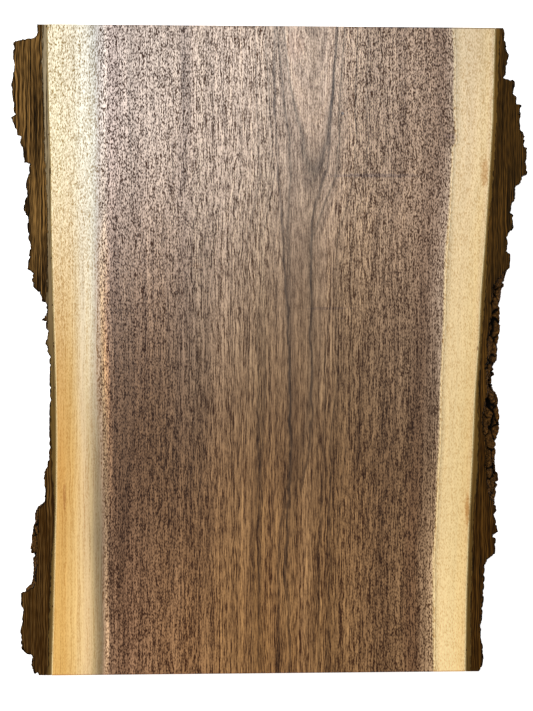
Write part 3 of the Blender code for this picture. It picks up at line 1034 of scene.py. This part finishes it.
# %% Walnut: length of the fibres
HEART_MIDDLE = 0.53
PORE_WIDTH = 0.46
from_middle = maths(tree, "ABSOLUTE", minus(tree, across, HEART_MIDDLE))
in_centre = spread(tree, from_middle, 0.30, 0.10)
toward_far = spread(tree, y_mm, -30, 190)
on_left = maths(tree, "LESS_THAN", across, 0.5)
long_share = spread(tree, from_middle, 0.47, 0.14, 0.12, 0.90)
long_share = product(tree, long_share, spread(tree, toward_far, 0.0, 1.0, 1.0, 0.50))
line_share = spread(tree, in_centre, 0.0, 1.0, 0.12, 0.45)
line_share = product(tree, line_share, spread(tree, toward_far, 0.0, 0.7, 1.0, 0.15))
sap_line = product(tree, spread(tree, toward_far, 0.5, 0.0, 0.05, 0.60), on_left)
line_share = mix(tree, heart_mask, sap_line, line_share)
light, dark = fibre_pair(tree, place, PORE_WIDTH, long_share, line_share)
print("fibres are", PORE_WIDTH, "mm wide")

# %% [markdown]
# How strongly the strokes show differs too. Sapwood has fainter pores than heartwood, and the pale
# arches in the middle of the far half are the calmest part of the heart.

# %% Walnut: strength of the fibres
right_strength = spread(tree, toward_far, 0.0, 1.0, 0.55, 0.72)
left_strength = spread(tree, toward_far, 0.0, 1.0, 0.60, 1.15)
sap_strength = mix(tree, on_left, right_strength, left_strength)
past_heart = maths(tree, "MAXIMUM", product(tree, across, -1.0), minus(tree, across, 1.0))
past_heart = product(tree, past_heart, HEART_WIDTH)
sap_strength = maths(tree, "MAXIMUM", sap_strength, spread(tree, past_heart, 8.0, 1.0, 0.0, 0.85))
heart_strength = spread(tree, in_centre, 0.0, 1.0, 1.35, 1.02)
heart_strength = product(tree, heart_strength, spread(tree, toward_far, 0.0, 1.0, 0.95, 1.20))
arch_middle = spread(tree, y_mm, -208, 145, 0.552, 0.60)
from_arch = maths(tree, "ABSOLUTE", minus(tree, across, arch_middle))
in_arch = spread(tree, from_arch, 0.12, 0.05, 1.0, 0.62)
calm_arch = mix(tree, spread(tree, y_mm, -110, 20), grey(1.15), in_arch)
heart_strength = product(tree, heart_strength, calm_arch)
strength = mix(tree, heart_mask, sap_strength, heart_strength)
dark = product(tree, dark, strength)
light = product(tree, light, strength)
print("with fibres:", len(tree.nodes), "nodes")

# %% [markdown]
# Growth rings tint the heart in three ways. A few single rings stand out and draw the outlines of the
# arches. Two noises that follow the rings add broad bands and fine lines to all of them. Light and
# dark tints differ a little in hue, as warm and cool wood do.

# %% Walnut: growth rings
RING_SPAN = (24, 56)
# Share of the way through the span of rings, and the tone of the ring there
RINGS = (
    (0.0, 1.0), (0.17, 1.08), (0.235, 1.26), (0.252, 1.02), (0.266, 0.4), (0.278, 0.97), (0.325, 1.03),
    (0.331, 0.97), (0.344, 0.38), (0.356, 0.9), (0.4, 1.05), (0.45, 1.12), (0.525, 1.05), (0.535, 0.38),
    (0.545, 0.95), (0.7, 1.0), (0.715, 0.58), (0.73, 1.0),
)
# The tints of each noise, where it is low and where it is high
BAND_TINTS = ((0.73, 0.69, 0.64, 1), (1.27, 1.30, 1.35, 1))
LINE_TINTS = ((0.75, 0.71, 0.66, 1), (1.24, 1.27, 1.30, 1))
RAGGED = 0.07
ragged = plus(tree, ring, product(tree, minus(tree, light, dark), RAGGED))
ring_tone = ramp(tree, spread(tree, ragged, *RING_SPAN), [(share, grey(tone)) for share, tone in RINGS])
ring_share = spread(tree, y_mm, 30, 140, 0.45, 1.0)
heart = times(tree, heart, mix(tree, ring_share, grey(1.0), ring_tone))
ring_sockets = {0: ring, 1: product(tree, y_mm, 0.010), 2: product(tree, across, 9.0)}
ring_place = node(tree, "CombineXYZ", ring_sockets).outputs[0]
bands = soft_noise(tree, ring_place, 0.45, 4.0, 0.8)
lines = soft_noise(tree, ring_place, 1.5, 2.0, 0.6)
for strands, tints in ((bands, BAND_TINTS), (lines, LINE_TINTS)):
    heart = times(tree, heart, mix(tree, spread(tree, strands, 0.3, 0.7), *tints))
green_shift = mix(tree, course(tree, y_mm, HUE_SHIFT, 0.0, 1.0), (1.0, 0.98, 0.85, 1), (1.0, 1.09, 1.22, 1))
left_shift = mix(tree, course(tree, y_mm, LEFT_HUE, 0.0, 1.0), (1.0, 0.91, 0.52, 1), (1.0, 1.08, 1.15, 1))
heart = times(tree, heart, mix(tree, spread(tree, across, 0.16, 0.26), left_shift, green_shift))
heart = add_veins(tree, place, heart)
tone = maths(tree, "DIVIDE", node(tree, "SeparateColor", {0: heart}).outputs[0], HEART_RED)
sap = times(tree, sap, spread(tree, bands, 0.3, 0.7, 0.92, 1.07))
print("with rings:", len(tree.nodes), "nodes")

# %% [markdown]
# Now heart and sap are put together, the strokes of the fibres tint them, and the marks go on top. The
# heart's light strokes are partly their own paler colour and partly a painted highlight, a bluish white
# glint. A darker line runs just inside each end, along the cut: painted shade at the far end, where the end
# turns away from the light, and the lit end face painted in at the near end.

# %% Walnut: strokes, marks and end lines
PORE_TINTS = ((0.66, 0.51, 0.33, 1), (0.23, 0.15, 0.10, 1))
# Tints of the light strokes in sap and heart. The heart's bluish white adds a painted highlight, a glint
# off the finish, to the strokes' own paler colour.
LIGHT_STROKE_GLINT_TINTS = (grey(1.22), (1.88, 2.02, 2.22, 1))
# Each line's Y at X = 0 in mm, its slope, and the tint that it multiplies with
FAR_LINE = (203.0, -0.00785, (0.25, 0.2, 0.15, 1.0))
NEAR_LINE = (-201.9, 0.00966, (0.62, 0.42, 0.28, 1.0))
wood = mix(tree, heart_mask, sap, heart)
pored = times(tree, wood, mix(tree, heart_mask, *PORE_TINTS))
wood = mix(tree, maths(tree, "MINIMUM", dark, 1.0), wood, pored)
lit = times(tree, wood, mix(tree, heart_mask, *LIGHT_STROKE_GLINT_TINTS))
wood = add_marks(tree, place, mix(tree, light, wood, lit))
# Painted lines along the ends: at the far end painted shade, where the end turns away from the light, and
# at the near end the lit end face painted in as seen at the edge.
far_y = plus(tree, FAR_LINE[0], product(tree, x_mm, FAR_LINE[1]))
near_y = plus(tree, NEAR_LINE[0], product(tree, x_mm, NEAR_LINE[1]))
far_edge_shade = spread(tree, minus(tree, far_y, y_mm), 1.1, 0.7)
far_edge_shade = product(tree, far_edge_shade, spread(tree, x_mm, 30, 90, 0.1, 0.75))
near_edge_shade = spread(tree, minus(tree, y_mm, near_y), 1.0, 0.6, 0.0, 0.6)
wood = mix(tree, far_edge_shade, wood, times(tree, wood, FAR_LINE[2]))
wood = mix(tree, near_edge_shade, wood, times(tree, wood, NEAR_LINE[2]))
print("with marks:", len(tree.nodes), "nodes")

# %% [markdown]
# The hand-rubbed finish is a thin coat. It is strongest on light strokes and on pale wood, and weak in
# the pores. A slight bump, far finer than the mesh, makes the strokes catch the light.

# %% Walnut: sheen
SHEEN, LIGHT_SHEEN, PORE_DULLS = 0.56, 0.42, 0.52
PORE_RELIEF = 0.2 * MM
sheen = plus(tree, SHEEN, product(tree, light, LIGHT_SHEEN))
sheen = maths(tree, "SUBTRACT", sheen, product(tree, dark, PORE_DULLS), clamp=True)
tone_sheen = mix(tree, heart_mask, grey(1.0), spread(tree, tone, 0.3, 1.3, 0.42, 1.12))
sheen = maths(tree, "MULTIPLY", sheen, tone_sheen, clamp=True)
relief = minus(tree, light, dark)
bump = node(tree, "Bump", {"Height": relief, "Strength": 0.12, "Distance": PORE_RELIEF}).outputs[0]
surface = node(tree, "BsdfPrincipled", {
    "Base Color": wood, "Roughness": 0.55, "Specular IOR Level": 0.15, "Normal": bump,
    "Coat Weight": sheen, "Coat Roughness": 0.28, "Coat IOR": 1.75,
})
tree.links.new(surface.outputs[0], node(tree, "OutputMaterial").inputs[0])
print("walnut material:", len(tree.nodes), "nodes")

# %% [markdown]
# ## Bark
#
# Bark has two layers. Next to the wood lies the thin, olive inner bark, and outside it the thick dark outer
# bark, fibrous where it was sawn and brown where it has weathered, with its cracks painted nearly black as
# painted shade. The next tables give the thickness of the inner bark in mm along the slab.

# %% Thickness of the inner bark
LEFT_STRIPE = (
    (-208, 2.1), (-174, 2.6), (-127, 1.9), (-112, 0.6), (-98, 0.6), (-84, 2.2), (-62, 3), (-8, 5),
    (30, 4.5), (54, 2.9), (82, 2.2), (104, 2.8), (116, 3.7), (147, 3), (176, 3.7), (208, 3.1),
)
RIGHT_STRIPE = (
    (-208, 3.4), (-139, 2.8), (-92, 2.6), (-77, 3.9), (-62, 3.5), (-48, 3), (-30, 2), (9, 2), (34, 2.9),
    (72, 1.6), (80, 1.5), (97, 2.6), (118, 2.6), (154, 2.6), (172, 3), (208, 3),
)
print("thickest inner bark, in mm:", max(thick for _, thick in LEFT_STRIPE + RIGHT_STRIPE))

# %% [markdown]
# The sawn bark is painted with the same strokes as the wood, once fine and once wide. The left strip
# is paler and more streaked toward its far end, and the right one hardly changes.

# %% Bark: sawn outer bark
bark, tree = new_material("walnut_bark")
position = node(tree, "TexCoord").outputs["Object"]
grown = node(tree, "Group", {"Position": position}, node_tree=growth).outputs
place, y_mm = grown["Place"], grown["Along"]
left_side = maths(tree, "LESS_THAN", node(tree, "SeparateXYZ", {0: position}).outputs[0], 0.0)
fine_light, fine_dark = fibre_pair(tree, place, 0.38, 1.0, 0.85)
wide_light, wide_dark = fibre_pair(tree, place, 0.8, 1.0, 0.9)
contrast = mix(tree, left_side, grey(1.0), spread(tree, y_mm, -60, 60, 0.6, 1.5))
fine_light = product(tree, fine_light, contrast)
fine_dark = product(tree, fine_dark, contrast)
far_plain = mix(tree, left_side, shade(56, 38, 13), shade(72, 50, 22))
plain = mix(tree, spread(tree, y_mm, -60, 60), shade(60, 35, 5), far_plain)
outer = mix(tree, product(tree, wide_dark, 0.35), plain, shade(34, 21, 6))
outer = mix(tree, product(tree, wide_light, 0.20), outer, shade(104, 68, 20))
streak = mix(tree, left_side, shade(112, 76, 28), shade(150, 112, 60))
outer = mix(tree, product(tree, fine_light, 0.7), outer, streak)
outer = mix(tree, fine_dark, outer, shade(18, 10, 2))
print("outer bark:", len(tree.nodes), "nodes")

# %% [markdown]
# The inner bark follows its table, with an edge that noise makes uneven. A dark seam runs where the
# two barks meet, and a cream line where the bark meets the wood.

# %% Bark: inner bark, seam and cream line
out_left = product(tree, grown["From left edge"], -1.0)
out_right = product(tree, grown["From right edge"], -1.0)
outside = maths(tree, "MAXIMUM", out_left, out_right)
stripe = mix(tree, left_side, course(tree, y_mm, RIGHT_STRIPE, 0, 6), course(tree, y_mm, LEFT_STRIPE, 0, 6))
inner_light = mix(tree, spread(tree, y_mm, -40, 170), shade(112, 86, 42), shade(162, 144, 112))
inner_light = mix(tree, left_side, shade(106, 78, 34), inner_light)
inner = mix(tree, product(tree, fine_dark, 0.8), inner_light, shade(56, 42, 20))
uneven = spread(tree, soft_noise(tree, place, 0.22, 4.0, 0.6), 0.3, 0.7, -0.7, 0.7)
into_outer = minus(tree, outside, plus(tree, stripe, uneven))
sawn_colour = mix(tree, spread(tree, into_outer, 0.2, -0.2), outer, inner)
seam = minus(tree, 1.0, spread(tree, maths(tree, "ABSOLUTE", into_outer), 0.15, 0.55))
sawn_colour = mix(tree, product(tree, seam, 0.6), sawn_colour, shade(26, 17, 7))
cream = product(tree, spread(tree, outside, 0.75, 0.35), 0.55)
sawn_colour = mix(tree, cream, sawn_colour, shade(176, 150, 98))
print("with inner bark:", len(tree.nodes), "nodes")

# %% [markdown]
# Weathered bark is brown with pale crumbs, and its cracks are painted nearly black as painted shade. Along
# its rim the sawn face is painted nearly black as well, as painted shade. The three values that were kept
# for each point tell the material where it is sawn, where a crack is and where the rim runs.

# %% Bark: weathered skin and surface
FIBRE_RELIEF = 0.3 * MM
sawn = node(tree, "Attribute", attribute_name="sawn").outputs["Fac"]
rim = node(tree, "Attribute", attribute_name="rim").outputs["Fac"]
crack = node(tree, "Attribute", attribute_name="crack").outputs["Fac"]
rough_noise = soft_noise(tree, place, 0.7, 5.0, 0.75)
weathered = mix(tree, spread(tree, rough_noise, 0.40, 0.62), shade(38, 23, 8), shade(106, 71, 30))
weathered = mix(tree, spread(tree, rough_noise, 0.60, 0.70), weathered, shade(160, 120, 64))
# Painted shade: the cracks between plates are painted nearly black, on top of their real depth.
weathered = mix(tree, spread(tree, crack, 0.05, 0.6), weathered, shade(8, 5, 2))
# Painted shade: the sawn face turns nearly black along its rim, where the bark's steep side falls away out
# of the light.
rim_shade = plus(tree, rim, spread(tree, rough_noise, 0.35, 0.65, -0.7, 0.7))
sawn_colour = mix(tree, spread(tree, rim_shade, 1.3, 0.6), sawn_colour, shade(12, 7, 3))
bark_colour = mix(tree, spread(tree, sawn, 0.4, 0.9), weathered, sawn_colour)
relief = minus(tree, fine_light, fine_dark)
bump = node(tree, "Bump", {"Height": relief, "Strength": 0.5, "Distance": FIBRE_RELIEF}).outputs[0]
surface = node(tree, "BsdfPrincipled", {
    "Base Color": bark_colour, "Roughness": 0.85, "Specular IOR Level": 0.06, "Normal": bump,
})
tree.links.new(surface.outputs[0], node(tree, "OutputMaterial").inputs[0])
print("bark material:", len(tree.nodes), "nodes")

# %% [markdown]
# ## Putting it together
#
# Each piece gets its material, rides on the one body of the slab, and stands for its solid.

# %% Dress and place the pieces
SMOOTH_ANGLE = math.radians(50)
for piece, node_name, material, slot in (
    (board, "wood_slab", walnut, "wood"),
    (bark_left, "bark_left", bark, "bark"),
    (bark_right, "bark_right", bark, "bark"),
):
    piece.data.materials.clear()
    piece.data.materials.append(material)
    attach(piece, "root")
    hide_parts(node_name)
for piece in (bark_left, bark_right):
    only(piece)
    bpy.ops.object.shade_smooth_by_angle(angle=SMOOTH_ANGLE)

# %% [markdown]
# ## Floor and light
#
# The slab lies on a plain pale floor, a hair below it. Seen from underneath, the floor is clear, so
# that the underside of the slab can be looked at too.

# %% Floor
FLOOR_SIZE = 6.0
FLOOR_GAP = 0.2 * MM
bpy.ops.object.select_all(action="DESELECT")
bpy.ops.mesh.primitive_plane_add(size=FLOOR_SIZE, location=(0, 0, -FLOOR_GAP))
floor = bpy.context.active_object
floor.name = "floor"
pale, tree = new_material("pale_floor")
surface = node(tree, "BsdfPrincipled", {
    "Base Color": grey(0.86), "Roughness": 0.9, "Specular IOR Level": 0.0,
    "Emission Color": grey(1.0), "Emission Strength": 0.9,
})
from_below = node(tree, "NewGeometry").outputs["Backfacing"]
clear = node(tree, "BsdfTransparent")
shown = node(tree, "MixShader", {0: from_below, 1: surface.outputs[0], 2: clear.outputs[0]})
tree.links.new(shown.outputs[0], node(tree, "OutputMaterial").inputs[0])
floor.data.materials.append(pale)

# %% [markdown]
# One large softbox above the far end, a little to the left, gives the sheen that fades down the board,
# and an even sky fills the rest.

# %% Softbox and sky
SOFTBOX_FAR_TILT = math.radians(20.5)
SOFTBOX_LEFT_TILT = math.radians(10)
SOFTBOX_DISTANCE = 1.6
SOFTBOX_SIZE = 0.8
SOFTBOX_WATTS = 21.0
SKY_STRENGTH = 0.25
softbox_data = bpy.data.lights.new("softbox", "AREA")
softbox_data.shape = "RECTANGLE"
softbox_data.size = softbox_data.size_y = SOFTBOX_SIZE
softbox_data.energy = SOFTBOX_WATTS
softbox = bpy.data.objects.new("softbox", softbox_data)
direction = Vector((-math.tan(SOFTBOX_LEFT_TILT), math.tan(SOFTBOX_FAR_TILT), 1.0)).normalized()
softbox.location = direction * SOFTBOX_DISTANCE
softbox.rotation_euler = direction.to_track_quat("Z", "Y").to_euler()
bpy.context.scene.collection.objects.link(softbox)

world = bpy.data.worlds.new("studio")
world.use_nodes = True
world.node_tree.nodes["Background"].inputs["Color"].default_value = grey(1.0)
world.node_tree.nodes["Background"].inputs["Strength"].default_value = SKY_STRENGTH
bpy.context.scene.world = world
bpy.context.scene.view_settings.view_transform = "Standard"
print("softbox, in metres from the middle:", [round(s, 2) for s in softbox.location])
